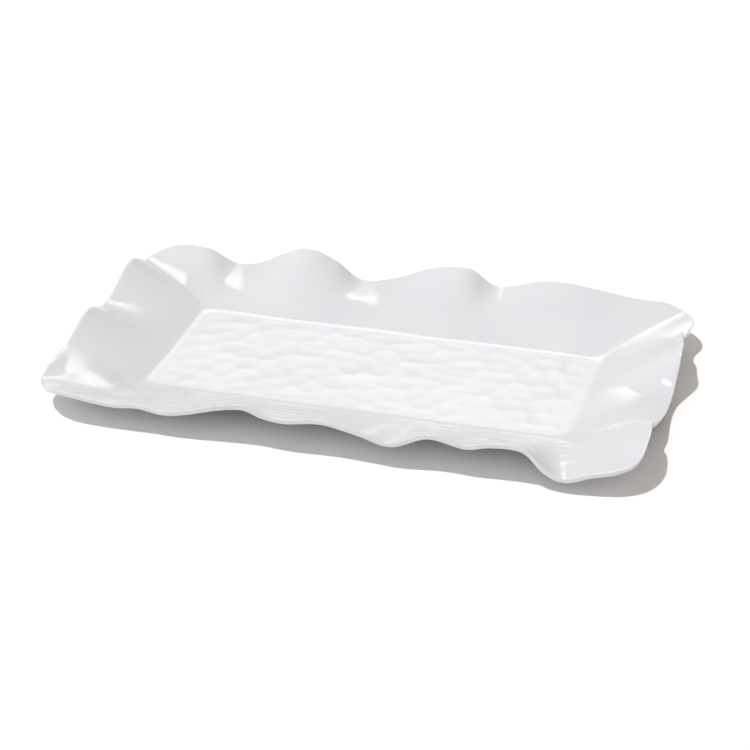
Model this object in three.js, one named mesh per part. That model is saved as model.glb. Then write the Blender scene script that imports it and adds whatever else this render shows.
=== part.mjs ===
// A long serving platter in glazed china, built with three.js. It has a flat oblong well, a wide shallow
// wall that opens out of it in deep ruffles, a thick rolled lip, and a low bare foot ring to stand on.
//
// Units are millimetres. +Z is up and +X runs along the platter. The origin is the middle of the space
// that the platter covers, on the surface it stands on.

import * as THREE from 'three';

// ---------------------------------------------------------------- driving dimensions

const WELL_LENGTH = 358;            // flat floor of the well, along X
const WELL_WIDTH = 152;             // flat floor of the well, along Y
const WELL_CORNER = 12;             // radius of the floor's corners
const WELL_HEIGHT = 6.2;            // finished floor of the well, over the surface the platter stands on

const WARE_THICKNESS = 4.2;         // finished wall, floor and lip, square to their surface
const GLAZE_THICKNESS = 0.4;        // glaze coat
const JOINT_GAP = 0.3;              // clearance kept between two solids that lie against each other

const MEAN_RISE = 25;               // climb of the wall from the well to the lip, ruffles left out
const RISE_POWER = 1.05;            // the plain wall climbs almost straight
const RUFFLE_POWER = 1.7;           // the ruffles grow from nothing at the well to the lip
const RUFFLE_SPREAD = 24;           // how far the ruffles have spread out sideways where the wall starts
const FAN_SHRINK = 0.92;            // the wall's lines lie this much closer together at the well
const STEEPEST = 0.6;               // least cosine of slope that the thickness of the wall allows for

const FOOT_INSET = 6;               // from the edge of the well in to the outside of the foot ring
const FOOT_WIDTH = 5;
const FOOT_ROUND = 0.5;             // rounding of the foot ring's edges

// The lip, going round anticlockwise from the front left corner: x, y and height of each crest, hollow
// and pleat along the top of its edge. A smooth curve runs through them.
const LIP_FRONT = [
    [-252, -118, 22],
    [-242, -138, 26],
    [-225, -152, 32],
    [-177, -154, 28],
    [-156, -154, 30],
    [-132, -154, 27],
    [-69, -154, 42],
    [-50, -154, 36],
    [-34, -154, 34],
    [-3, -154, 38],
    [30, -154, 32],
    [54, -154, 26],
    [85, -154, 38],
    [117, -154, 33],
    [132, -154, 37],
    [162, -154, 37],
    [181, -154, 20],
    [193, -154, 15],
    [214, -154, 22],
    [234, -150, 26],
];
const LIP_RIGHT = [
    [248, -138, 30],
    [252, -118, 40],
    [248.5, -84, 38],
    [246.5, -70, 28.5],
    [248.5, -56, 23],
    [248, 8, 11.5],
    [250, 40, 41.4],
    [249, 50, 43.4],
    [247, 60, 41.6],
    [244, 80, 38],
    [243, 94, 26],
    [243.5, 105, 23.5],
    [246.5, 117, 25.5],
];
const LIP_REAR = [
    [244.5, 130, 26.5],
    [235, 146, 24.5],
    [217, 154, 27.5],
    [190, 154, 28],
    [116, 154, 35],
    [66, 154, 24],
    [42, 154, 38],
    [5, 154, 33],
    [-21, 154, 22],
    [-58, 154, 14.5],
    [-81, 154, 30],
    [-109, 154, 39],
    [-155, 154, 19],
    [-175, 154, 16],
    [-202, 154, 28],
    [-230, 153, 28],
];
const LIP_LEFT = [
    [-245, 143, 24.5],
    [-252, 128, 22.5],
    [-248, 117, 26],
    [-252, 108, 32],
    [-253, 92, 37],
    [-253, 30, 23.5],
    [-253, -12, 36],
    [-253, -62, 26],
    [-253, -97, 26],
];

// Places where the wall was pressed up while the clay was soft: x, y, reach and height.
const SWELLS = [
    [-206, 98, 19, 2.4],
    [-45, 84, 7, 0.9],
    [-50, 118, 8, 0.7],
];
// The place where it was pressed level, by the front left corner: its middle, half its length and width,
// the direction in which it runs, its height, and how steeply it falls in that direction.
const LEVEL_PLACE = { x: -217, y: -102, length: 36, width: 19, turn: -27, height: 20.5, fall: 0.08 };
const LEVEL_EDGE = 1.4;             // how sharply the level place gives way to the wall round it
const SWELL_START = 0.3;            // both grow out of the wall from the well (0) to here
const SWELL_END = 0.8;              // and fade from here to the lip (1)

// How finely the ruffled wall is divided: columns between two neighbouring points of the lip, and the
// rows from the well (0) to the lip (1), closer together where the wall bends most.
const COLUMNS_PER_POINT = 2;
const WALL_ROWS = [0, 0.12, 0.28, 0.46, 0.64, 0.82, 1];
const RIM_STEPS = 1800;             // steps in which the lip's height is averaged
const GRADIENT_STEP = 0.01;         // step used to measure the slope of the wall

// Depth of the fired body's own surface below the finished one.
const BODY_SURFACE = GLAZE_THICKNESS + JOINT_GAP;

// ---------------------------------------------------------------- finishes

const biscuit = new THREE.MeshStandardMaterial({ color: 0xf1ece2, roughness: 0.85, metalness: 0 });
const bareFoot = new THREE.MeshStandardMaterial({ color: 0xe6ddcd, roughness: 0.9, metalness: 0 });
const glaze = new THREE.MeshStandardMaterial({ color: 0xf8f8fa, roughness: 0.12, metalness: 0 });
const glazeUnder = new THREE.MeshStandardMaterial({ color: 0xf4f4f5, roughness: 0.2, metalness: 0 });

// ---------------------------------------------------------------- the ruffled surface

const lipPoints = [...LIP_FRONT, ...LIP_RIGHT, ...LIP_REAR, ...LIP_LEFT];
const lipCurve = new THREE.CatmullRomCurve3(
    lipPoints.map(([x, y, z]) => new THREE.Vector3(x, y, z)),
    true,
    'centripetal',
);

// The lip in small steps, how far round each step starts, and how far it is all the way round.
const rim = lipCurve.getPoints(RIM_STEPS);
const stepLengths = rim.slice(1).map((point, i) => point.distanceTo(rim[i]));
const stepStarts = stepLengths.reduce((starts, length) => [...starts, starts.at(-1) + length], [0]);
const rimLength = stepStarts.at(-1);

// The lip's height as the wall feels it at a station s, averaged over a longer stretch further in.
function feltHeight(u, s) {
    const place = (((u % 1) + 1) % 1) * RIM_STEPS;
    const step = Math.floor(place);
    if (s === 1) {
        return lipCurve.getPoint(place / RIM_STEPS).z;
    }
    const here = stepStarts[step] + (place - step) * stepLengths[step];
    const reach = RUFFLE_SPREAD * (1 - s);
    let heights = 0;
    let weights = 0;
    for (let i = 0; i < RIM_STEPS; i += 1) {
        const straight = Math.abs(stepStarts[i] - here);
        const away = Math.min(straight, rimLength - straight);
        const weight = stepLengths[i] * Math.exp(-0.5 * (away / reach) ** 2);
        heights += weight * rim[i].z;
        weights += weight;
    }
    return heights / weights;
}

// The wall's height at a place in plan, once the swells and the level place have been pressed into it.
function pressed(plan, s, height) {
    const { smoothstep, degToRad } = THREE.MathUtils;
    const share = smoothstep(s, 0, SWELL_START) * (1 - smoothstep(s, SWELL_END, 1));
    const lift = SWELLS.reduce((sum, [x, y, reach, rise]) => {
        const away = Math.hypot(plan.x - x, plan.y - y) / reach;
        return sum + rise * Math.exp(-0.5 * away ** 2);
    }, 0);
    const swollen = height + lift * share;
    const level = LEVEL_PLACE;
    const away = new THREE.Vector2(plan.x - level.x, plan.y - level.y);
    away.rotateAround(new THREE.Vector2(), -degToRad(level.turn));
    const squared = (away.x / level.length) ** 2 + (away.y / level.width) ** 2;
    const settled = share * Math.exp(-(squared ** LEVEL_EDGE));
    return swollen + (level.height - level.fall * away.x - swollen) * settled;
}

// One line of the wall, from the edge of the well out to the lip, at a fraction u of the way round.
// hub is the centre that the well's corner turns about, and spoke points from it to the edge.
function wallLine(u) {
    const lip = lipCurve.getPoint(((u % 1) + 1) % 1);
    const aimed = new THREE.Vector2(lip.x, lip.y).multiplyScalar(FAN_SHRINK);
    const hub = new THREE.Vector2(
        THREE.MathUtils.clamp(aimed.x, WELL_CORNER - WELL_LENGTH / 2, WELL_LENGTH / 2 - WELL_CORNER),
        THREE.MathUtils.clamp(aimed.y, WELL_CORNER - WELL_WIDTH / 2, WELL_WIDTH / 2 - WELL_CORNER),
    );
    const spoke = aimed.sub(hub).normalize();
    return { lip, hub, spoke };
}

// A point of the finished upper surface: u goes round the platter and s from the well (0) to the lip (1).
function wallPoint(u, s) {
    const { lip, hub, spoke } = wallLine(u);
    const edge = hub.clone().addScaledVector(spoke, WELL_CORNER);
    const plan = edge.lerp(new THREE.Vector2(lip.x, lip.y), s);
    const ruffle = feltHeight(u, s) - WELL_HEIGHT - MEAN_RISE;
    const rise = MEAN_RISE * s ** RISE_POWER + ruffle * s ** RUFFLE_POWER;
    return new THREE.Vector3(plan.x, plan.y, pressed(plan, s, WELL_HEIGHT + rise));
}

// How far apart the upper and lower surfaces are, straight down, for the ware to keep its thickness.
function heightOfWare(u, s) {
    if (s === 0) {
        return WARE_THICKNESS;
    }
    const outer = Math.min(1, s + GRADIENT_STEP);
    const alongLine = wallPoint(u, outer).sub(wallPoint(u, outer - GRADIENT_STEP));
    const step = GRADIENT_STEP / lipPoints.length;
    const aroundRim = wallPoint(u + step, s).sub(wallPoint(u - step, s));
    const normal = alongLine.cross(aroundRim).normalize();
    return WARE_THICKNESS / Math.max(STEEPEST, Math.abs(normal.z));
}

// The section of the ware along one line, at a depth below its finished surface: over the wall from the
// well to the lip, round the rolled lip, and back underneath to the edge of the well.
function section(u, depth) {
    const over = [];
    const under = [];
    for (const s of WALL_ROWS) {
        const point = wallPoint(u, s);
        const down = heightOfWare(u, s);
        over.push(point.clone().setZ(point.z - depth));
        under.unshift(point.clone().setZ(point.z - down + depth));
    }
    const lip = over.at(-1).clone().lerp(under[0], 0.5);
    const { spoke } = wallLine(u);
    const roll = WARE_THICKNESS / 2 - depth;
    lip.x += spoke.x * roll;
    lip.y += spoke.y * roll;
    return [...over, lip, ...under];
}

// The outline of the well moved in by an inset, one point for each column, at one height.
function wellOutline(inset, height) {
    return columnPositions().map((u) => {
        const { hub, spoke } = wallLine(u);
        const edge = hub.clone().addScaledVector(spoke, WELL_CORNER - inset);
        return new THREE.Vector3(edge.x, edge.y, height);
    });
}

function columnPositions() {
    const columns = lipPoints.length * COLUMNS_PER_POINT;
    return Array.from({ length: columns }, (_, i) => i / columns);
}

// The rings that run round the platter, from the edge of the well over the lip and back underneath.
function ringsRound(depth) {
    const sections = columnPositions().map((u) => section(u, depth));
    return sections[0].map((_, row) => sections.map((points) => points[row]));
}

// ---------------------------------------------------------------- from rings to a closed body

// A closed body put together from sheets of faces. Every sheet is a stack of rings with as many points
// each, and splits its four-sided faces along the same diagonal, so that two sheets at different depths
// below one surface never cross.
class RingBody {
    constructor(pointsPerRing) {
        this.pointsPerRing = pointsPerRing;
        this.positions = [];
        this.faces = [];
    }

    // Adds a sheet and returns the number of the first point of its last ring.
    addSheet(rings, facesOut) {
        const start = this.positions.length / 3;
        this.positions.push(...rings.flat().flatMap((point) => point.toArray()));
        for (let row = 0; row < rings.length - 1; row += 1) {
            const near = start + row * this.pointsPerRing;
            this.joinRings(near, near + this.pointsPerRing, facesOut);
        }
        return start + (rings.length - 1) * this.pointsPerRing;
    }

    // Joins two rings, each given by the number of its first point.
    joinRings(near, far, facesOut) {
        for (let i = 0; i < this.pointsPerRing; i += 1) {
            const j = (i + 1) % this.pointsPerRing;
            this.addFace(near + i, far + i, far + j, facesOut);
            this.addFace(near + i, far + j, near + j, facesOut);
        }
    }

    // Closes a level ring with a fan of faces about its middle.
    addCap(first, facesUp) {
        const middle = this.positions.length / 3;
        this.positions.push(0, 0, this.positions[3 * first + 2]);
        for (let i = 0; i < this.pointsPerRing; i += 1) {
            const j = (i + 1) % this.pointsPerRing;
            this.addFace(middle, first + i, first + j, facesUp);
        }
    }

    addFace(a, b, c, keepsOrder) {
        this.faces.push(a, ...(keepsOrder ? [b, c] : [c, b]));
    }

    geometry() {
        const geometry = new THREE.BufferGeometry();
        geometry.setAttribute('position', new THREE.Float32BufferAttribute(this.positions, 3));
        geometry.setIndex(this.faces);
        geometry.computeVertexNormals();
        return geometry;
    }
}

function namedMesh(name, geometry, material) {
    const mesh = new THREE.Mesh(geometry, material);
    mesh.name = name;
    return mesh;
}

// ---------------------------------------------------------------- pieces

const underside = WELL_HEIGHT - WARE_THICKNESS;

// The fired body: floor of the well, ruffled wall and lip in one.
function chinaBody() {
    const body = new RingBody(columnPositions().length);
    const last = body.addSheet(ringsRound(BODY_SURFACE), true);
    body.addCap(0, true);
    body.addCap(last, false);
    return namedMesh('china_body', body.geometry(), biscuit);
}

// The coat of glaze over the well, the wall, the lip and the underside. It stops at the foot ring, where
// its outer and inner sheets meet, so it is open underneath.
function glazeCoat() {
    const reach = FOOT_INSET - JOINT_GAP;
    const coat = new RingBody(columnPositions().length);
    const outer = [...ringsRound(0), wellOutline(reach, underside)];
    const inner = [...ringsRound(GLAZE_THICKNESS), wellOutline(reach, underside + GLAZE_THICKNESS)];
    const outerEdge = coat.addSheet(outer, true);
    const innerStart = coat.positions.length / 3;
    const innerEdge = coat.addSheet(inner, false);
    coat.joinRings(outerEdge, innerEdge, true);
    coat.addCap(0, true);
    coat.addCap(innerStart, false);
    return namedMesh('glaze_coat', coat.geometry(), glaze);
}

// A rounded oblong about the origin.
function roundedOblong(PathClass, length, width, radius) {
    const x = length / 2 - radius;
    const y = width / 2 - radius;
    const outline = new PathClass();
    outline.moveTo(-x, -y - radius);
    outline.lineTo(x, -y - radius);
    outline.absarc(x, -y, radius, -Math.PI / 2, 0);
    outline.lineTo(x + radius, y);
    outline.absarc(x, y, radius, 0, Math.PI / 2);
    outline.lineTo(-x, y + radius);
    outline.absarc(-x, y, radius, Math.PI / 2, Math.PI);
    outline.lineTo(-x - radius, -y);
    outline.absarc(-x, -y, radius, Math.PI, 1.5 * Math.PI);
    return outline;
}

function insetOblong(PathClass, inset) {
    return roundedOblong(PathClass, WELL_LENGTH - 2 * inset, WELL_WIDTH - 2 * inset, WELL_CORNER - inset);
}

// The bare ring that the platter stands on, up to the underside of the fired body.
function footRing() {
    const ring = insetOblong(THREE.Shape, FOOT_INSET);
    ring.holes.push(insetOblong(THREE.Path, FOOT_INSET + FOOT_WIDTH));
    const height = underside + BODY_SURFACE - JOINT_GAP;
    const geometry = new THREE.ExtrudeGeometry(ring, {
        depth: height - 2 * FOOT_ROUND,
        bevelEnabled: true,
        bevelThickness: FOOT_ROUND,
        bevelSize: FOOT_ROUND,
        bevelOffset: -FOOT_ROUND,
        bevelSegments: 2,
        curveSegments: 6,
    });
    const mesh = namedMesh('foot_ring', geometry, bareFoot);
    mesh.position.z = FOOT_ROUND;
    return mesh;
}

// The thin sheet of glaze under the well, inside the foot ring.
function glazeUnderWell() {
    const inset = FOOT_INSET + FOOT_WIDTH + JOINT_GAP;
    const sheet = insetOblong(THREE.Shape, inset);
    const geometry = new THREE.ExtrudeGeometry(sheet, {
        depth: GLAZE_THICKNESS,
        bevelEnabled: false,
        curveSegments: 4,
    });
    const mesh = namedMesh('glaze_under_well', geometry, glazeUnder);
    mesh.position.z = underside;
    return mesh;
}

// ---------------------------------------------------------------- the platter

const platter = new THREE.Group();
platter.add(chinaBody(), glazeCoat(), footRing(), glazeUnderWell());

export default platter;
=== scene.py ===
"""A long serving platter in glazed white china.

A flat hammered well opens into a wide shallow wall, which breaks into deep ruffles on its way out to a
thick rolled lip. Underneath is a low foot ring, bare on its standing edge, with thin glaze inside it. The
frame gives the height of the foot and the place of that glaze. The rest follows from the outline of the well
and the line along the lip. Lengths named _mm are in millimetres and all others in metres.
"""

import logging
import math
from dataclasses import dataclass, field
from enum import Enum
from typing import Any

import bmesh
import bpy
import numpy as np
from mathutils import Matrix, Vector
from mathutils.geometry import delaunay_2d_cdt


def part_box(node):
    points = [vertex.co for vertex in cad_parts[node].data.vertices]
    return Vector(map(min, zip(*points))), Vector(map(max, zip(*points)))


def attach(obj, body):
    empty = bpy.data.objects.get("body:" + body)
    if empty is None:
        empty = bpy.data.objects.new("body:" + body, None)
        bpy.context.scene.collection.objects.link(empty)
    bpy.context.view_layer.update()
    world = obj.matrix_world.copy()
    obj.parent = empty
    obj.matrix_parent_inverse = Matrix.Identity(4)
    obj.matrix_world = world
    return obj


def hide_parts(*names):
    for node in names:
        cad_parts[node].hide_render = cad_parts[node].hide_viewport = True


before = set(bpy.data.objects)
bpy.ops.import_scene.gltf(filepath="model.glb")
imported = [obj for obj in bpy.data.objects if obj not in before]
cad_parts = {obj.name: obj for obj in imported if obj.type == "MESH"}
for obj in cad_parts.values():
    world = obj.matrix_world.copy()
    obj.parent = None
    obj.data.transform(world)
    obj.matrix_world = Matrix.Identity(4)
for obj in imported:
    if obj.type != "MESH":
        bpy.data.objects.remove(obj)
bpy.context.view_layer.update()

LOG = logging.getLogger("platter")
MM = 0.001


# ---------------------------------------------------------------------------------------- small helpers


def srgb(hex_colour: str) -> tuple[float, float, float, float]:
    """Turns a colour as a maker would quote it into the linear colour that a shader wants.

    Args:
        hex_colour: six hexadecimal digits, red then green then blue, in sRGB.

    Returns:
        Linear red, green and blue, and an alpha of 1.
    """
    channels = [int(hex_colour[i:i + 2], 16) / 255 for i in (0, 2, 4)]
    linear = [c / 12.92 if c <= 0.04045 else ((c + 0.055) / 1.055) ** 2.4 for c in channels]
    return (*linear, 1.0)


def add_node(
    tree: bpy.types.NodeTree,
    kind: str,
    settings: dict[str | int, Any] | None = None,
    links: dict[str | int, bpy.types.NodeSocket] | None = None,
) -> bpy.types.Node:
    """Adds one node to a tree, sets it up and links what feeds it.

    Args:
        tree: the node tree of a material or the world.
        kind: the node's type, such as ShaderNodeTexNoise.
        settings: values by the name of a property of the node, or else by an input socket's name or number.
        links: output sockets by the name, or number, of the input socket that each feeds.

    Returns:
        The new node.
    """
    node = tree.nodes.new(kind)
    for name, value in (settings or {}).items():
        if hasattr(node, str(name)):
            setattr(node, name, value)
        else:
            node.inputs[name].default_value = value
    for name, source in (links or {}).items():
        tree.links.new(source, node.inputs[name])
    return node


def new_tree(material: bpy.types.Material) -> bpy.types.NodeTree:
    """Empties a material's node tree.

    Args:
        material: a new material.

    Returns:
        Its node tree, ready for nodes.
    """
    material.use_nodes = True
    material.node_tree.nodes.clear()
    return material.node_tree


def smooth_step(low: float, high: float, value: np.ndarray) -> np.ndarray:
    """Rises smoothly from 0 at low to 1 at high.

    Args:
        low: where the rise starts.
        high: where it ends.
        value: the values to look up.

    Returns:
        An array of the same shape as value.
    """
    t = np.clip((value - low) / (high - low), 0.0, 1.0)
    return t * t * (3.0 - 2.0 * t)


def mesh_piece(name: str, points_mm: np.ndarray, faces: list[list[int]]) -> bpy.types.Object:
    """Makes one smooth closed piece from points in millimetres.

    Args:
        name: the piece's name.
        points_mm: one row of x, y and z for each vertex.
        faces: the vertices of each face, in order round it.

    Returns:
        The new object, in the scene.
    """
    mesh = bpy.data.meshes.new(name)
    mesh.from_pydata((points_mm * MM).tolist(), [], faces)
    shaped = bmesh.new()
    shaped.from_mesh(mesh)
    bmesh.ops.recalc_face_normals(shaped, faces=shaped.faces)
    for face in shaped.faces:
        face.smooth = True
    shaped.to_mesh(mesh)
    shaped.free()
    piece = bpy.data.objects.new(name, mesh)
    bpy.context.scene.collection.objects.link(piece)
    return piece


def band(near: np.ndarray, far: np.ndarray) -> list[list[int]]:
    """Joins two rings of points with a band of four-sided faces.

    Args:
        near: the numbers of the first ring's points, in order round it.
        far: the numbers of the second ring's points, in the same order.

    Returns:
        One face for each step round the rings.
    """
    return np.column_stack([near, far, np.roll(far, -1), np.roll(near, -1)]).tolist()


# ---------------------------------------------------------------------------------------- the lip's line


@dataclass
class LipLine:
    """The line along the top of the lip, ruffle by ruffle, anticlockwise from the front left corner."""

    front_mm: list[tuple[float, float, float]] = field(default_factory=lambda: [
        (-252, -118, 22), (-242, -138, 26), (-225, -152, 32), (-177, -154, 28), (-156, -154, 30),
        (-132, -154, 27), (-69, -154, 42), (-50, -154, 36), (-34, -154, 34), (-3, -154, 38),
        (30, -154, 32), (54, -154, 26), (85, -154, 38), (117, -154, 33), (132, -154, 37),
        (162, -154, 37), (181, -154, 20), (193, -154, 15), (214, -154, 22), (234, -150, 26),
    ])
    right_mm: list[tuple[float, float, float]] = field(default_factory=lambda: [
        (248, -138, 30), (252, -118, 40), (248.5, -84, 38), (246.5, -70, 28.5), (248.5, -56, 23),
        (248, 8, 11.5), (250, 40, 41.4), (249, 50, 43.4), (247, 60, 41.6), (244, 80, 38),
        (243, 94, 26), (243.5, 105, 23.5), (246.5, 117, 25.5),
    ])
    rear_mm: list[tuple[float, float, float]] = field(default_factory=lambda: [
        (244.5, 130, 26.5), (235, 146, 24.5), (217, 154, 27.5), (190, 154, 28), (116, 154, 35),
        (66, 154, 24), (42, 154, 38), (5, 154, 33), (-21, 154, 22), (-58, 154, 14.5),
        (-81, 154, 30), (-109, 154, 39), (-155, 154, 19), (-175, 154, 16), (-202, 154, 28),
        (-230, 153, 28),
    ])
    left_mm: list[tuple[float, float, float]] = field(default_factory=lambda: [
        (-245, 143, 24.5), (-252, 128, 22.5), (-248, 117, 26), (-252, 108, 32), (-253, 92, 37),
        (-253, 30, 23.5), (-253, -12, 36), (-253, -62, 26), (-253, -97, 26),
    ])
    steps_per_point: int = 60
    steps_per_column: int = 4
    softening_mm: float = 2.5
    softening_span: float = 4.0
    drained_mm: float = 0.15

    def walk(self, count: int) -> np.ndarray:
        """Walks once round the lip in equal steps.

        Args:
            count: how many steps to take.

        Returns:
            An array of count rows of x, y and z, in millimetres.
        """
        fine = self._spline()
        gaps = np.linalg.norm(np.roll(fine, -1, axis=0) - fine, axis=1)
        along = np.concatenate([[0.0], np.cumsum(gaps)])
        closed = np.vstack([fine, fine[:1]])
        steps = self.steps_per_column * count
        stations = np.arange(steps) / steps * along[-1]
        even = np.column_stack([np.interp(stations, along, closed[:, k]) for k in range(3)])
        even[:, 2] -= self.drained_mm
        return self._soften(even, along[-1] / steps)[::self.steps_per_column]

    def _spline(self) -> np.ndarray:
        """Runs a centripetal curve through the ruffles, as a clay strip bends.

        Returns:
            Fine, uneven steps round the lip, as rows of x, y and z in millimetres.
        """
        points = np.array(self.front_mm + self.right_mm + self.rear_mm + self.left_mm, float)
        before, after, beyond = (np.roll(points, k, axis=0) for k in (1, -1, -2))
        reach = [
            np.sqrt(np.linalg.norm(b - a, axis=1))[:, None]
            for a, b in ((before, points), (points, after), (after, beyond))
        ]
        leave = (points - before) / reach[0] - (after - before) / (reach[0] + reach[1])
        leave = (leave + (after - points) / reach[1]) * reach[1]
        arrive = (after - points) / reach[1] - (beyond - points) / (reach[1] + reach[2])
        arrive = (arrive + (beyond - after) / reach[2]) * reach[1]
        t = np.arange(self.steps_per_point)[None, :, None] / self.steps_per_point
        squared = (3 * (after - points) - 2 * leave - arrive)[:, None]
        cubed = (2 * (points - after) + leave + arrive)[:, None]
        curve = points[:, None] + leave[:, None] * t + squared * t**2 + cubed * t**3
        return curve.reshape(-1, 3)

    def _soften(self, line: np.ndarray, spacing_mm: float) -> np.ndarray:
        """Rounds the line off a little, as fingers and glaze do.

        Args:
            line: rows of x, y and z in equal steps round the lip.
            spacing_mm: the length of a step.

        Returns:
            The rounded line, in the same steps.
        """
        reach = int(self.softening_span * self.softening_mm / spacing_mm)
        offsets = np.arange(-reach, reach + 1)
        weights = np.exp(-0.5 * (offsets * spacing_mm / self.softening_mm) ** 2)
        weights /= weights.sum()
        return sum(w * np.roll(line, -k, axis=0) for k, w in zip(offsets, weights))


# ---------------------------------------------------------------------------------------- the well


@dataclass
class HammeredWell:
    """The flat floor of the well, beaten all over with shallow dimples."""

    length_mm: float = 358.0
    width_mm: float = 152.0
    corner_mm: float = 12.0
    height_mm: float = 6.2
    dimple_length_mm: float = 20.0
    dimple_width_mm: float = 16.0
    hollow_radius_mm: float = 270.0
    uneven_depth_mm: float = 0.10
    ridge_softness_mm: float = 0.07
    spare_blows: int = 3
    blow_scatter: float = 0.38
    blow_stretch: tuple[float, float] = (0.8, 1.25)
    margin_mm: float = 6.5
    fade_mm: float = 7.0
    grid_mm: float = 2.0
    grid_clearance: float = 0.6
    corner_steps: int = 10
    seed: int = 11

    def corner_centre(self) -> np.ndarray:
        """Gives x and y of the centre of the rounding at the rear right corner."""
        return np.array([self.length_mm, self.width_mm]) / 2 - self.corner_mm

    def hubs(self, aimed: np.ndarray) -> np.ndarray:
        """Finds, for points outside the well, the centre that its corner or side turns about."""
        limit = self.corner_centre()
        return np.clip(aimed, -limit, limit)

    def ring(self, inset_mm: float, height_mm: float) -> np.ndarray:
        """Draws the outline of the well, set in a little, at one height.

        Args:
            inset_mm: how far inside the edge of the well.
            height_mm: above the table.

        Returns:
            Rows of x, y and z, in millimetres, anticlockwise.
        """
        radius = max(self.corner_mm - inset_mm, 0.0)
        points = []
        for quarter, sides in enumerate(((1, 1), (-1, 1), (-1, -1), (1, -1))):
            x, y = self.corner_centre() * sides
            for step in range(self.corner_steps + 1):
                turn = (quarter + step / self.corner_steps) * math.pi / 2
                points.append((x + math.cos(turn) * radius, y + math.sin(turn) * radius, height_mm))
        return np.array(points)

    def depth_inside(self, plan: np.ndarray) -> np.ndarray:
        """Measures how far inside the edge of the well each point lies.

        Args:
            plan: rows of x and y, in millimetres.

        Returns:
            One distance in millimetres for each row, below 0 outside the well.
        """
        beyond = np.abs(plan) - self.corner_centre()
        outside = np.linalg.norm(np.maximum(beyond, 0.0), axis=1)
        inside = np.minimum(beyond.max(axis=1), 0.0)
        return self.corner_mm - outside - inside

    def heights(self, plan: np.ndarray) -> np.ndarray:
        """Gives the height of the beaten floor.

        Each blow leaves a shallow bowl, and the floor is the lowest of them wherever two meet, with the
        ridge between them rounded by the glaze.

        Args:
            plan: rows of x and y, in millimetres.

        Returns:
            One height in millimetres for each row.
        """
        rng = np.random.default_rng(self.seed)
        columns = int(self.length_mm / self.dimple_length_mm) + self.spare_blows
        rows = int(self.width_mm / self.dimple_width_mm) + self.spare_blows
        across, up = np.meshgrid(np.arange(columns), np.arange(rows))
        blows = np.column_stack([across.ravel() + 0.5 * (up.ravel() % 2), up.ravel()]).astype(float)
        blows += rng.uniform(-self.blow_scatter, self.blow_scatter, blows.shape)
        blows -= np.array([columns, rows]) / 2
        blows *= np.array([self.dimple_length_mm, self.dimple_width_mm])
        depth = rng.uniform(0.0, self.uneven_depth_mm, len(blows))
        stretch = rng.uniform(*self.blow_stretch, len(blows))
        away = plan[:, None, :] - blows[None, :, :]
        squared = away[..., 0] ** 2 / stretch**2 + away[..., 1] ** 2 * stretch**2
        bowls = squared / (2 * self.hollow_radius_mm) - depth
        lowest = bowls.min(axis=1, keepdims=True)
        share = np.exp(-(bowls - lowest) / self.ridge_softness_mm).sum(axis=1)
        floor = lowest[:, 0] - self.ridge_softness_mm * np.log(share)
        return self.height_mm + (floor - floor.mean()) * self._fade(plan)

    def _fade(self, plan: np.ndarray) -> np.ndarray:
        """Fades the dimples out before they reach the crease."""
        return smooth_step(self.margin_mm, self.margin_mm + self.fade_mm, self.depth_inside(plan))

    def grid(self) -> np.ndarray:
        """Lays an even triangular grid of points over the well, clear of its edge.

        Returns:
            Rows of x and y, in millimetres.
        """
        rise = self.grid_mm * math.sqrt(3) / 2
        rows = np.arange(-self.width_mm / 2, self.width_mm / 2, rise)
        points = [
            (x + (k % 2) * self.grid_mm / 2, y)
            for k, y in enumerate(rows)
            for x in np.arange(-self.length_mm / 2, self.length_mm / 2, self.grid_mm)
        ]
        plan = np.array(points)
        return plan[self.depth_inside(plan) > self.margin_mm + self.grid_clearance * self.grid_mm]


# ---------------------------------------------------------------------------------------- the wall


@dataclass(frozen=True)
class Swell:
    """A place where the wall was pressed up, or down, while the clay was soft."""

    x_mm: float
    y_mm: float
    reach_mm: float
    height_mm: float

    def height(self, plan: np.ndarray) -> np.ndarray:
        """Gives how much it lifts the wall at each point of an array of x and y."""
        squared = (plan[..., 0] - self.x_mm) ** 2 + (plan[..., 1] - self.y_mm) ** 2
        return self.height_mm * np.exp(-0.5 * squared / self.reach_mm**2)


@dataclass(frozen=True)
class LevelPlace:
    """A long patch of the wall that was pressed level while the clay was soft."""

    x_mm: float
    y_mm: float
    half_length_mm: float
    half_width_mm: float
    turn_deg: float
    height_mm: float
    slope: float
    edge_power: float = 1.4

    def settle(self, plan: np.ndarray, height: np.ndarray, share: np.ndarray) -> np.ndarray:
        """Brings the wall to the patch's height, wholly in the middle and less towards its edge.

        Args:
            plan: x and y of every point.
            height: the wall's height there before.
            share: how far each row of the wall gives way.

        Returns:
            The wall's height afterwards.
        """
        turn = math.radians(self.turn_deg)
        away = plan - np.array([self.x_mm, self.y_mm])
        along = away @ np.array([math.cos(turn), math.sin(turn)])
        across = away @ np.array([-math.sin(turn), math.cos(turn)])
        squared = (along / self.half_length_mm) ** 2 + (across / self.half_width_mm) ** 2
        inside = np.exp(-(squared**self.edge_power))
        return height + (self.height_mm + self.slope * along - height) * share * inside


@dataclass(frozen=True)
class Wander:
    """A slow wave over the platter, for marks of the hand that drift as they go."""

    size: float
    over_x_mm: float
    over_y_mm: float
    start: float

    def value(self, x: np.ndarray, y: np.ndarray) -> np.ndarray:
        """Gives the wave's value at each x and y."""
        return self.size * np.sin(x / self.over_x_mm + y / self.over_y_mm + self.start)


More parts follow.
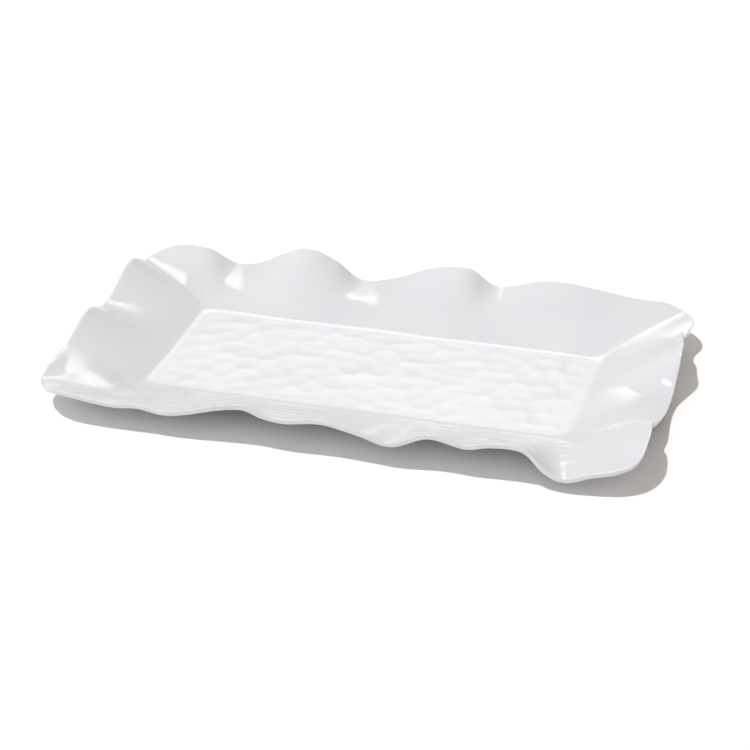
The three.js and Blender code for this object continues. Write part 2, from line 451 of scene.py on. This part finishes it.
@dataclass(frozen=True)
class SmoothingRidges:
    """Faint ridges along the front wall in two crossing sets, from smoothing the wet clay."""

    spacing_mm: float = 13.0
    depth_mm: float = 0.20
    drift: tuple[Wander, ...] = (
        Wander(size=1.9, over_x_mm=31.0, over_y_mm=math.inf, start=0.6),
        Wander(size=1.5, over_x_mm=17.0, over_y_mm=-23.0, start=0.0),
    )
    crossing_drift: Wander = Wander(size=2.2, over_x_mm=26.0, over_y_mm=-14.0, start=2.0)
    crossing_size: float = 0.6
    crossing_rate: float = 1.7
    mean_strength: float = 0.45
    strength_change: Wander = Wander(size=0.55, over_x_mm=39.0, over_y_mm=37.0, start=1.0)
    fade_in_y_mm: tuple[float, float] = (-62.0, -84.0)
    fade_in_x_mm: tuple[float, float] = (-205.0, -165.0)
    fade_in_station: tuple[float, float] = (0.08, 0.25)
    fade_out_station: tuple[float, float] = (0.85, 1.0)

    def height(self, plan: np.ndarray, out_mm: np.ndarray, s: np.ndarray) -> np.ndarray:
        """Gives how much the ridges lift the wall.

        Args:
            plan: x and y of every point.
            out_mm: how far each point is from the edge of the well.
            s: the station of each row, as a column.

        Returns:
            Heights in millimetres, below 0 in the grooves.
        """
        x, y = plan[..., 0], plan[..., 1]
        turns = 2 * math.pi * out_mm / self.spacing_mm
        crossing = np.sin(self.crossing_rate * turns + self.crossing_drift.value(x, y))
        ridges = np.sin(turns + sum(wave.value(x, y) for wave in self.drift)) + self.crossing_size * crossing
        strength = self.mean_strength + self.strength_change.value(x, y)
        front = smooth_step(*self.fade_in_y_mm, y) * smooth_step(*self.fade_in_x_mm, x)
        rows = smooth_step(*self.fade_in_station, s) * (1.0 - smooth_step(*self.fade_out_station, s))
        return self.depth_mm * strength * front * rows * ridges


@dataclass
class RuffledWall:
    """The wall from the edge of the well out to the lip, with its ruffles and the marks of making."""

    lip: LipLine
    well: HammeredWell
    columns: int = 840
    rows_at_crease: int = 20
    rows_of_wall: int = 46
    crease_start: float = -0.07
    crease_end: float = 0.12
    mean_rise_mm: float = 25.0
    rise_power: float = 1.05
    ruffle_power: float = 1.7
    fan_shrink: float = 0.92
    crease_softness: float = 0.055
    crease_settling: float = 0.05
    crease_wander: tuple[Wander, ...] = (
        Wander(size=0.0072, over_x_mm=21.0, over_y_mm=26.0, start=0.0),
        Wander(size=0.0048, over_x_mm=11.0, over_y_mm=-15.0, start=1.0),
    )
    spread_mm: float = 24.0
    least_upright: float = 0.6
    pressed_from: tuple[float, float] = (0.0, 0.3)
    pressed_until: tuple[float, float] = (0.8, 1.0)
    swells: tuple[Swell, ...] = (
        Swell(x_mm=-206, y_mm=98, reach_mm=19, height_mm=2.4),
        Swell(x_mm=-45, y_mm=84, reach_mm=7, height_mm=0.9),
        Swell(x_mm=-50, y_mm=118, reach_mm=8, height_mm=0.7),
    )
    level_place: LevelPlace = LevelPlace(
        x_mm=-217, y_mm=-102, half_length_mm=36, half_width_mm=19, turn_deg=-27, height_mm=20.5,
        slope=-0.08,
    )
    ridges: SmoothingRidges = SmoothingRidges()

    def __post_init__(self) -> None:
        """Works out the lines that run from the well to the lip."""
        self.lip_points = self.lip.walk(self.columns)
        aimed = self.lip_points[:, :2] * self.fan_shrink
        self.hub_points = self.well.hubs(aimed)
        spokes = aimed - self.hub_points
        self.spokes = spokes / np.linalg.norm(spokes, axis=1)[:, None]
        self.edge = self.hub_points + self.spokes * self.well.corner_mm
        self.stations = np.concatenate([
            np.linspace(self.crease_start, self.crease_end, self.rows_at_crease, endpoint=False),
            np.linspace(self.crease_end, 1.0, self.rows_of_wall),
        ])

    def surface(self, stations: np.ndarray) -> np.ndarray:
        """Gives the upper surface of the wall.

        Args:
            stations: how far out each row is, from 0 at the well to 1 at the lip.

        Returns:
            An array of stations by columns by x, y and z, in millimetres.
        """
        s = stations[:, None]
        plan = self.edge[None] + (self.lip_points[None, :, :2] - self.edge[None]) * s[..., None]
        eased = self._easing(s)
        ruffle = self._spread_ruffles(stations) - self.well.height_mm - self.mean_rise_mm
        height = self.well.height_mm + self.mean_rise_mm * eased**self.rise_power
        height = height + ruffle * eased**self.ruffle_power
        share = smooth_step(*self.pressed_from, s) * (1.0 - smooth_step(*self.pressed_until, s))
        height = height + sum(swell.height(plan) for swell in self.swells) * share
        height = self.level_place.settle(plan, height, share)
        out = np.linalg.norm(plan - self.edge[None], axis=2)
        return np.dstack([plan, height + self.ridges.height(plan, out, s)])

    def _easing(self, s: np.ndarray) -> np.ndarray:
        """Rounds the crease where the wall leaves the well, along a line that wanders a little.

        Args:
            s: the station of each row, as a column.

        Returns:
            How far along its climb the wall is, from 0 inside the crease to 1 at the lip.
        """
        x, y = self.edge[None, :, 0], self.edge[None, :, 1]
        wander = sum(wave.value(x, y) for wave in self.crease_wander)
        rows = [s - wander, self.crease_start - wander, 1.0 - wander]
        here, inside, lip = (0.5 * (row + np.hypot(row, self.crease_softness)) for row in rows)
        settled = smooth_step(self.crease_start, self.crease_start + self.crease_settling, s)
        return (here - inside) / (lip - inside) * settled

    def _spread_ruffles(self, stations: np.ndarray) -> np.ndarray:
        """Spreads the lip's ruffles out along the wall, more so further in, as a stiff sheet does.

        Args:
            stations: as for surface.

        Returns:
            The lip's height as each row feels it, an array of stations by columns.
        """
        line = self.lip_points
        gap = np.linalg.norm(np.roll(line, -1, axis=0) - line, axis=1).mean()
        waves = 2 * math.pi * np.fft.rfftfreq(len(line), gap)
        reach = self.spread_mm * (1.0 - np.maximum(stations, 0.0))[:, None]
        spectrum = np.fft.rfft(line[:, 2])[None] * np.exp(-0.5 * (waves[None] * reach) ** 2)
        return np.fft.irfft(spectrum, len(line), axis=1)

    def drop(self, stations: np.ndarray, thickness_mm: float) -> np.ndarray:
        """Gives how far straight down the underside lies, for the ware to keep its thickness.

        Args:
            stations: the rows, as for surface.
            thickness_mm: the thickness square to the surface.

        Returns:
            An array of stations by columns, in millimetres.
        """
        upper = self.surface(stations)
        around = np.roll(upper, -1, axis=1) - np.roll(upper, 1, axis=1)
        outward = np.gradient(upper, stations, axis=0)
        normal = np.cross(outward, around)
        upright = np.abs(normal[..., 2]) / np.linalg.norm(normal, axis=2)
        return thickness_mm / np.maximum(upright, self.least_upright)


# ---------------------------------------------------------------------------------------- the finishes


@dataclass(frozen=True)
class WhiteGlaze:
    """Clear lead-free glaze over white china: opaque white in depth, glossy, a touch cool."""

    name: str = "glazed white porcelain"
    thin: str = "DBDDE2"
    full: str = "D9DBE1"
    pooled: str = "D6D8DF"
    pooled_until: float = 0.3
    thin_from: float = 0.7
    shade_patch_mm: float = 60.0
    roughness: float = 0.09
    roughness_range: tuple[float, float] = (0.85, 1.2)
    ior: float = 1.52
    orange_peel_mm: float = 1.6
    orange_peel_depth_mm: float = 0.05
    orange_peel_strength: float = 0.05

    def material(self) -> bpy.types.Material:
        """Builds the finish: faint drifts of colour where the glaze ran thin or pooled, and orange peel.

        Returns:
            The new material.
        """
        material = bpy.data.materials.new(self.name)
        tree = new_tree(material)
        place = add_node(tree, "ShaderNodeTexCoord")
        # The eye reads one clean cool white, very slightly greyer in broad patches where the glaze is thick.
        drift = add_node(
            tree, "ShaderNodeTexNoise",
            {"Scale": 1 / (self.shade_patch_mm * MM), "Detail": 3.0, "Roughness": 0.45},
            {"Vector": place.outputs["Object"]},
        )
        shade = add_node(tree, "ShaderNodeValToRGB", {}, {"Fac": drift.outputs["Fac"]})
        pooled, thin = shade.color_ramp.elements
        pooled.position = self.pooled_until
        pooled.color = srgb(self.pooled)
        thin.position = self.thin_from
        thin.color = srgb(self.thin)
        full = shade.color_ramp.elements.new((self.pooled_until + self.thin_from) / 2)
        full.color = srgb(self.full)
        # Its skin shines like glass, with highlights just softened by orange peel and uneven polish.
        peel = add_node(
            tree, "ShaderNodeTexNoise",
            {"Scale": 1 / (self.orange_peel_mm * MM), "Detail": 2.0, "Roughness": 0.5},
            {"Vector": place.outputs["Object"]},
        )
        bump = add_node(
            tree, "ShaderNodeBump",
            {"Strength": self.orange_peel_strength, "Distance": self.orange_peel_depth_mm * MM},
            {"Height": peel.outputs["Fac"]},
        )
        least, most = self.roughness_range
        polish = add_node(
            tree, "ShaderNodeMapRange",
            {"To Min": self.roughness * least, "To Max": self.roughness * most},
            {"Value": drift.outputs["Fac"]},
        )
        shader = add_node(
            tree, "ShaderNodeBsdfPrincipled",
            {"IOR": self.ior, "Metallic": 0.0},
            {
                "Base Color": shade.outputs["Color"],
                "Roughness": polish.outputs["Result"],
                "Normal": bump.outputs["Normal"],
            },
        )
        add_node(tree, "ShaderNodeOutputMaterial", {}, {"Surface": shader.outputs["BSDF"]})
        return material


@dataclass(frozen=True)
class BareBiscuit:
    """Unglazed fired china on the standing edge: matt, slightly warm, with a sandy grain and grey scuffs."""

    name: str = "bare biscuit porcelain"
    clay: str = "E4DBCB"
    grain_dark: str = "CFC4B2"
    scuff: str = "A9A39A"
    roughness: float = 0.82
    ior: float = 1.5
    grain_mm: float = 0.9
    grain_depth_mm: float = 0.1
    grain_strength: float = 0.5
    scuff_mm: float = 14.0
    scuff_edges: tuple[float, float] = (0.55, 0.75)
    scuff_cover: float = 0.5

    def material(self) -> bpy.types.Material:
        """Builds the finish: fine grain in colour and relief, with patches rubbed grey by shelves.

        Returns:
            The new material.
        """
        material = bpy.data.materials.new(self.name)
        tree = new_tree(material)
        place = add_node(tree, "ShaderNodeTexCoord")
        # The eye reads a chalky cream ring with no shine, which sets off the cold gloss of the glaze.
        # Its grain is drawn coarser than the real one, which is too fine to show.
        grain = add_node(
            tree, "ShaderNodeTexNoise",
            {"Scale": 1 / (self.grain_mm * MM), "Detail": 4.0, "Roughness": 0.6},
            {"Vector": place.outputs["Object"]},
        )
        # To mix colours, a mix node takes the share at 0 and the colours at 6 and 7, and gives the mix at 2.
        clay = add_node(
            tree, "ShaderNodeMix",
            {"data_type": "RGBA", 6: srgb(self.grain_dark), 7: srgb(self.clay)},
            {0: grain.outputs["Fac"]},
        )
        # Grey rubs come and go along it, as wear from shelves does.
        rubbed = add_node(
            tree, "ShaderNodeTexNoise",
            {"Scale": 1 / (self.scuff_mm * MM), "Detail": 5.0, "Roughness": 0.7},
            {"Vector": place.outputs["Object"]},
        )
        worn_from, worn_fully = self.scuff_edges
        worn = add_node(
            tree, "ShaderNodeMapRange",
            {"From Min": worn_from, "From Max": worn_fully, "To Min": 0.0, "To Max": self.scuff_cover},
            {"Value": rubbed.outputs["Fac"]},
        )
        colour = add_node(
            tree, "ShaderNodeMix",
            {"data_type": "RGBA", 7: srgb(self.scuff)},
            {0: worn.outputs["Result"], 6: clay.outputs[2]},
        )
        bump = add_node(
            tree, "ShaderNodeBump",
            {"Strength": self.grain_strength, "Distance": self.grain_depth_mm * MM},
            {"Height": grain.outputs["Fac"]},
        )
        shader = add_node(
            tree, "ShaderNodeBsdfPrincipled",
            {"IOR": self.ior, "Roughness": self.roughness},
            {"Base Color": colour.outputs[2], "Normal": bump.outputs["Normal"]},
        )
        add_node(tree, "ShaderNodeOutputMaterial", {}, {"Surface": shader.outputs["BSDF"]})
        return material


# ---------------------------------------------------------------------------------------- the pieces


class Part(Enum):
    """The platter's pieces, by the name that each goes under."""

    WARE = "glazed_ware"
    FOOT = "standing_foot"
    RECESS = "glaze_in_recess"


@dataclass
class GlazedWare:
    """The glazed body in one: beaten well, ruffled wall, rolled lip and underside."""

    wall: RuffledWall
    thickness_mm: float = 4.2
    roll_steps: int = 17
    squareness: float = 0.22
    undercut_mm: float = 2.0
    tucked_mm: float = 0.1
    rows_under: int = 22
    foot_inset_mm: float = 5.7
    foot_step_mm: float = 0.45
    finish: WhiteGlaze = field(default_factory=WhiteGlaze)

    def build(self) -> bpy.types.Object:
        """Builds the ware as one closed skin.

        Returns:
            The dressed piece, riding on the platter's one body.
        """
        rings = self._rings()
        count = self.wall.columns
        floor_points, faces = self._floor(rings[0])
        points = np.vstack([floor_points, *rings[1:]])
        ring = np.arange(count) + len(floor_points) - count
        for _ in rings[1:]:
            faces += band(ring, ring + count)
            ring = ring + count
        faces.append(ring[::-1].tolist())
        piece = mesh_piece(Part.WARE.value, points, faces)
        piece.data.materials.append(self.finish.material())
        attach(piece, "root")
        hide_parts("glaze_coat", "china_body")
        return piece

    def _floor(self, edge: np.ndarray) -> tuple[np.ndarray, list[list[int]]]:
        """Fills the edge of the well with the beaten floor.

        Args:
            edge: the ring of points round the edge of the well.

        Returns:
            The floor's points, with the edge's own last, and its faces.
        """
        well = self.wall.well
        plan = well.grid()
        count = len(edge)
        outline = [list(range(count))]
        corners = [Vector(p) for p in np.vstack([edge[:, :2], plan])]
        inside_only, merged_mm = 1, 1e-4
        made = delaunay_2d_cdt(corners, [], outline, inside_only, merged_mm)
        inner = np.column_stack([plan, well.heights(plan)])
        shift = len(plan)
        faces = [[(i + shift if i < count else i - count) for i in face] for face in made[2]]
        return np.vstack([inner, edge]), faces

    def _rings(self) -> list[np.ndarray]:
        """Lays out every ring of the skin, from the edge of the well over the lip to under the well.

        Returns:
            The rings in order, each an array of columns by x, y and z, in millimetres.
        """
        wall = self.wall
        upper = wall.surface(wall.stations)
        down = wall.drop(wall.stations, self.thickness_mm)
        rings = list(upper)
        rings += self._lip_roll(upper[-1], down[-1])
        rows = np.linspace(0.0, 1.0, self.rows_under)
        under = wall.surface(rows)
        under[..., 2] -= wall.drop(rows, self.thickness_mm)
        rings += list(under[::-1])
        for step in (0.0, self.foot_step_mm):
            plan = wall.hub_points + wall.spokes * (wall.well.corner_mm - self.foot_inset_mm - step)
            height = np.full((wall.columns, 1), wall.well.height_mm - self.thickness_mm + step)
            rings.append(np.hstack([plan, height]))
        return rings

    def _lip_roll(self, top: np.ndarray, down: np.ndarray) -> list[np.ndarray]:
        """Rolls the lip over from its upper edge to its lower one.

        Args:
            top: the last ring of the upper surface.
            down: how far below it the underside lies.

        Returns:
            The rings between the two edges.
        """
        turns = np.linspace(math.pi / 2, -math.pi / 2, self.roll_steps + 2)[1:-1]
        rings = []
        for turn in turns:
            across = math.cos(turn) ** self.squareness
            up = math.copysign(abs(math.sin(turn)) ** self.squareness, math.sin(turn))
            reach = self.thickness_mm / 2 - self.tucked_mm - self.undercut_mm * (1 - up) / 2
            ring = top.copy()
            ring[:, :2] += self.wall.spokes * reach * across
            ring[:, 2] += down / 2 * (up - 1)
            rings.append(ring)
        return rings


@dataclass
class StandingFoot:
    """The low ring that the platter stands on, with its edges rubbed round."""

    well: HammeredWell
    inset_mm: float = 6.0
    width_mm: float = 5.0
    edge_round_mm: float = 0.6
    edge_points: int = 5
    finish: BareBiscuit = field(default_factory=BareBiscuit)

    def build(self) -> bpy.types.Object:
        """Builds the ring from its section, swept round the well's outline.

        Returns:
            The dressed piece, riding on the platter's one body.
        """
        low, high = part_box("foot_ring")
        rings = [self.well.ring(inset, z) for inset, z in self._section((high.z - low.z) / MM)]
        ring = np.arange(len(rings[0]))
        faces = []
        for row in range(len(rings)):
            following = (row + 1) % len(rings)
            faces += band(ring + row * len(ring), ring + following * len(ring))
        piece = mesh_piece(Part.FOOT.value, np.vstack(rings), faces)
        piece.data.materials.append(self.finish.material())
        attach(piece, "root")
        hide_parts("foot_ring")
        return piece

    def _section(self, height_mm: float) -> list[tuple[float, float]]:
        """Draws the section of the ring, with both its standing edges rubbed round.

        Args:
            height_mm: the height of the ring.

        Returns:
            Insets from the edge of the well, each with its height, in millimetres.
        """
        r = self.edge_round_mm
        outer, inner = self.inset_mm, self.inset_mm + self.width_mm
        turns = np.linspace(0.0, math.pi / 2, self.edge_points)
        section = [(outer, height_mm), (outer, (height_mm + r) / 2)]
        section += [(outer + r - r * math.cos(t), r - r * math.sin(t)) for t in turns]
        section += [(inner - r + r * math.sin(t), r - r * math.cos(t)) for t in turns]
        section += [(inner, (height_mm + r) / 2), (inner, height_mm)]
        return section


@dataclass
class RecessGlaze:
    """The thin sheet of glaze under the well, inside the foot."""

    well: HammeredWell
    finish: WhiteGlaze = WhiteGlaze(name="thin underside glaze")

    def build(self) -> bpy.types.Object:
        """Builds the sheet in the place that the frame gives.

        Returns:
            The dressed piece, riding on the platter's one body.
        """
        low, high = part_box("glaze_under_well")
        inset = self.well.length_mm / 2 - high.x / MM
        points = np.vstack([self.well.ring(inset, z / MM) for z in (low.z, high.z)])
        under, over = np.arange(len(points)).reshape(2, -1)
        faces = band(under, over) + [under[::-1].tolist(), over.tolist()]
        piece = mesh_piece(Part.RECESS.value, points, faces)
        piece.data.materials.append(self.finish.material())
        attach(piece, "root")
        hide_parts("glaze_under_well")
        return piece


# ---------------------------------------------------------------------------------------- the studio


def direction(azimuth_deg: float, elevation_deg: float) -> Vector:
    """Turns a bearing from the front, round by the right, and a height into a direction.

    Args:
        azimuth_deg: 0 at the front, 90 at the right.
        elevation_deg: above the floor.

    Returns:
        A vector of length 1.
    """
    a, e = math.radians(azimuth_deg), math.radians(elevation_deg)
    return Vector((math.sin(a) * math.cos(e), -math.cos(a) * math.cos(e), math.sin(e)))


@dataclass(frozen=True)
class Glow:
    """A soft patch of light on the walls of the room."""

    azimuth_deg: float
    elevation_deg: float
    tightness: float
    light: float

    def share(self, tree: bpy.types.NodeTree, place: bpy.types.Node) -> bpy.types.Node:
        """Adds the nodes for how much this patch lights a direction.

        Args:
            tree: the world's node tree.
            place: the node that gives directions.

        Returns:
            A node whose value is the patch's light.
        """
        toward = add_node(
            tree, "ShaderNodeVectorMath",
            {"operation": "DOT_PRODUCT", 1: direction(self.azimuth_deg, self.elevation_deg)},
            {0: place.outputs["Generated"]},
        )
        fall = add_node(
            tree, "ShaderNodeMath",
            {"operation": "MULTIPLY_ADD", 1: self.tightness, 2: -self.tightness},
            {0: toward.outputs["Value"]},
        )
        glow = add_node(tree, "ShaderNodeMath", {"operation": "EXPONENT"}, {0: fall.outputs["Value"]})
        return add_node(
            tree, "ShaderNodeMath", {"operation": "MULTIPLY", 1: self.light}, {0: glow.outputs["Value"]}
        )


@dataclass(frozen=True)
class Softbox:
    """A bright upright panel a long way off, brightest at the top and fading towards its foot."""

    azimuth_deg: float
    foot_deg: float
    top_deg: float
    half_width_deg: float
    edge_deg: float
    fade_deg: float
    light: float
    top_edge_deg: float = 1.0

    def share(self, tree: bpy.types.NodeTree, place: bpy.types.Node) -> bpy.types.Node:
        """Adds the nodes for how much the panel lights a direction.

        Args:
            tree: the world's node tree.
            place: the node that gives directions.

        Returns:
            A node whose value is the panel's light.
        """
        side, front, up = (
            add_node(
                tree, "ShaderNodeVectorMath",
                {"operation": "DOT_PRODUCT", 1: direction(*bearing)},
                {0: place.outputs["Generated"]},
            )
            for bearing in ((self.azimuth_deg + 90.0, 0.0), (self.azimuth_deg, 0.0), (0.0, 90.0))
        )
        sideways = add_node(tree, "ShaderNodeMath", {"operation": "ABSOLUTE"}, {0: side.outputs["Value"]})
        half_edge_deg = self.edge_deg / 2
        edges = (
            (sideways, self.half_width_deg + half_edge_deg, self.half_width_deg - half_edge_deg),
            (up, self.foot_deg, self.foot_deg + self.fade_deg),
            (up, self.top_deg + self.top_edge_deg, self.top_deg),
            (front, 0.0, 1.0),
        )
        # The first edge cuts the panel's light, and each later one cuts what is left of it.
        panel = None
        for facing, dark_deg, bright_deg in edges:
            edge = add_node(
                tree, "ShaderNodeMapRange",
                {
                    "interpolation_type": "SMOOTHSTEP",
                    "From Min": math.sin(math.radians(dark_deg)),
                    "From Max": math.sin(math.radians(bright_deg)),
                },
                {"Value": facing.outputs["Value"]},
            )
            left = {0: panel.outputs["Value"]} if panel else {}
            panel = add_node(
                tree, "ShaderNodeMath",
                {"operation": "MULTIPLY", 0: self.light},
                {**left, 1: edge.outputs["Result"]},
            )
        return panel


@dataclass
class Studio:
    """A pale floor in a dim warm room, a bright cool softbox behind, one key light and a long lens."""

    azimuth_deg: float = 15.9
    elevation_deg: float = 26.9
    distance: float = 2.184
    lens_mm: float = 124.8
    sensor_mm: float = 36.0
    aim: tuple[float, float, float] = (0.001, -0.0077, 0.0063)
    key_direction: tuple[float, float, float] = (-0.262, -0.312, 0.912)
    key_strength: float = 2.15
    key_spread_deg: float = 1.6
    floor_size: float = 12.0
    floor_colour: str = "FAFAFA"
    room_tint: str = "FFF7EF"
    room_light: float = 0.39
    glows: tuple[Glow, ...] = (
        Glow(azimuth_deg=0.0, elevation_deg=12.0, tightness=8.0, light=0.41),
        Glow(azimuth_deg=315.0, elevation_deg=12.0, tightness=8.0, light=0.39),
        Glow(azimuth_deg=270.0, elevation_deg=30.0, tightness=8.0, light=0.30),
        Glow(azimuth_deg=180.0, elevation_deg=12.0, tightness=8.0, light=0.30),
        Glow(azimuth_deg=196.0, elevation_deg=2.0, tightness=30.0, light=0.35),
    )
    softbox_tint: str = "F9FCFF"
    softbox: Softbox = Softbox(
        azimuth_deg=196.5, foot_deg=17.0, top_deg=41.0, half_width_deg=6.0, edge_deg=4.0, fade_deg=24.0,
        light=2.95,
    )

    def build(self) -> None:
        """Sets up the camera, the floor, the light and the surroundings."""
        self._camera()
        self._floor()
        self._key_light()
        self._surroundings()
        bpy.context.scene.view_settings.view_transform = "Standard"

    def _camera(self) -> None:
        """Stands a long lens in front of the platter, a little to its right and above it."""
        data = bpy.data.cameras.new("long lens")
        data.sensor_width = self.sensor_mm
        data.lens = self.lens_mm
        camera = bpy.data.objects.new("camera", data)
        back = direction(self.azimuth_deg, self.elevation_deg)
        camera.location = Vector(self.aim) + back * self.distance
        camera.rotation_mode = "QUATERNION"
        camera.rotation_quaternion = (-back).to_track_quat("-Z", "Y")
        bpy.context.scene.collection.objects.link(camera)
        bpy.context.scene.camera = camera

    def _floor(self) -> None:
        """Lays the pale floor that the platter stands on."""
        half = self.floor_size / 2
        mesh = bpy.data.meshes.new("studio_floor")
        corners = [(-half, -half, 0), (half, -half, 0), (half, half, 0), (-half, half, 0)]
        mesh.from_pydata(corners, [], [(0, 1, 2, 3)])
        floor = bpy.data.objects.new("studio_floor", mesh)
        bpy.context.scene.collection.objects.link(floor)
        # The eye sees nothing on it but the platter's shadow, because it is even, matt and almost white.
        material = bpy.data.materials.new("matt white paper")
        tree = new_tree(material)
        shader = add_node(tree, "ShaderNodeBsdfDiffuse", {"Color": srgb(self.floor_colour)})
        add_node(tree, "ShaderNodeOutputMaterial", {}, {"Surface": shader.outputs["BSDF"]})
        mesh.materials.append(material)

    def _key_light(self) -> None:
        """Hangs the key light high on the front left, small enough to draw crisp shadows."""
        data = bpy.data.lights.new("key", "SUN")
        data.energy = self.key_strength
        data.angle = math.radians(self.key_spread_deg)
        key = bpy.data.objects.new("key", data)
        key.rotation_mode = "QUATERNION"
        key.rotation_quaternion = Vector(self.key_direction).to_track_quat("Z", "Y")
        bpy.context.scene.collection.objects.link(key)

    def _surroundings(self) -> None:
        """Surrounds the platter with the glows of the room and the softbox behind it."""
        world = bpy.data.worlds.new("studio")
        bpy.context.scene.world = world
        world.use_nodes = True
        tree = world.node_tree
        tree.nodes.clear()
        place = add_node(tree, "ShaderNodeTexCoord")
        room = add_node(tree, "ShaderNodeMath", {"operation": "ADD", 0: self.room_light, 1: 0.0})
        for glow in self.glows:
            share = glow.share(tree, place)
            room = add_node(
                tree, "ShaderNodeMath",
                {"operation": "ADD"},
                {0: room.outputs["Value"], 1: share.outputs["Value"]},
            )
        panel = self.softbox.share(tree, place)
        first, second = (
            add_node(
                tree, "ShaderNodeBackground", {"Color": srgb(tint)}, {"Strength": light.outputs["Value"]}
            )
            for tint, light in ((self.room_tint, room), (self.softbox_tint, panel))
        )
        both = add_node(tree, "ShaderNodeAddShader", {}, {0: first.outputs[0], 1: second.outputs[0]})
        add_node(tree, "ShaderNodeOutputWorld", {}, {"Surface": both.outputs["Shader"]})


# ---------------------------------------------------------------------------------------- the platter


@dataclass
class Platter:
    """The whole platter, piece by piece."""

    well: HammeredWell = field(default_factory=HammeredWell)
    lip: LipLine = field(default_factory=LipLine)

    def build(self) -> list[bpy.types.Object]:
        """Builds and dresses every piece.

        Returns:
            The pieces, in the order they were made.
        """
        wall = RuffledWall(self.lip, self.well)
        pieces = [GlazedWare(wall).build(), StandingFoot(self.well).build(), RecessGlaze(self.well).build()]
        for piece in pieces:
            LOG.info("%s: %d faces", piece.name, len(piece.data.polygons))
        return pieces


def main() -> None:
    """Builds the studio and the platter."""
    logging.basicConfig(level=logging.INFO, format="%(name)s: %(message)s")
    Studio().build()
    Platter().build()


if __name__ == "__main__":
    main()
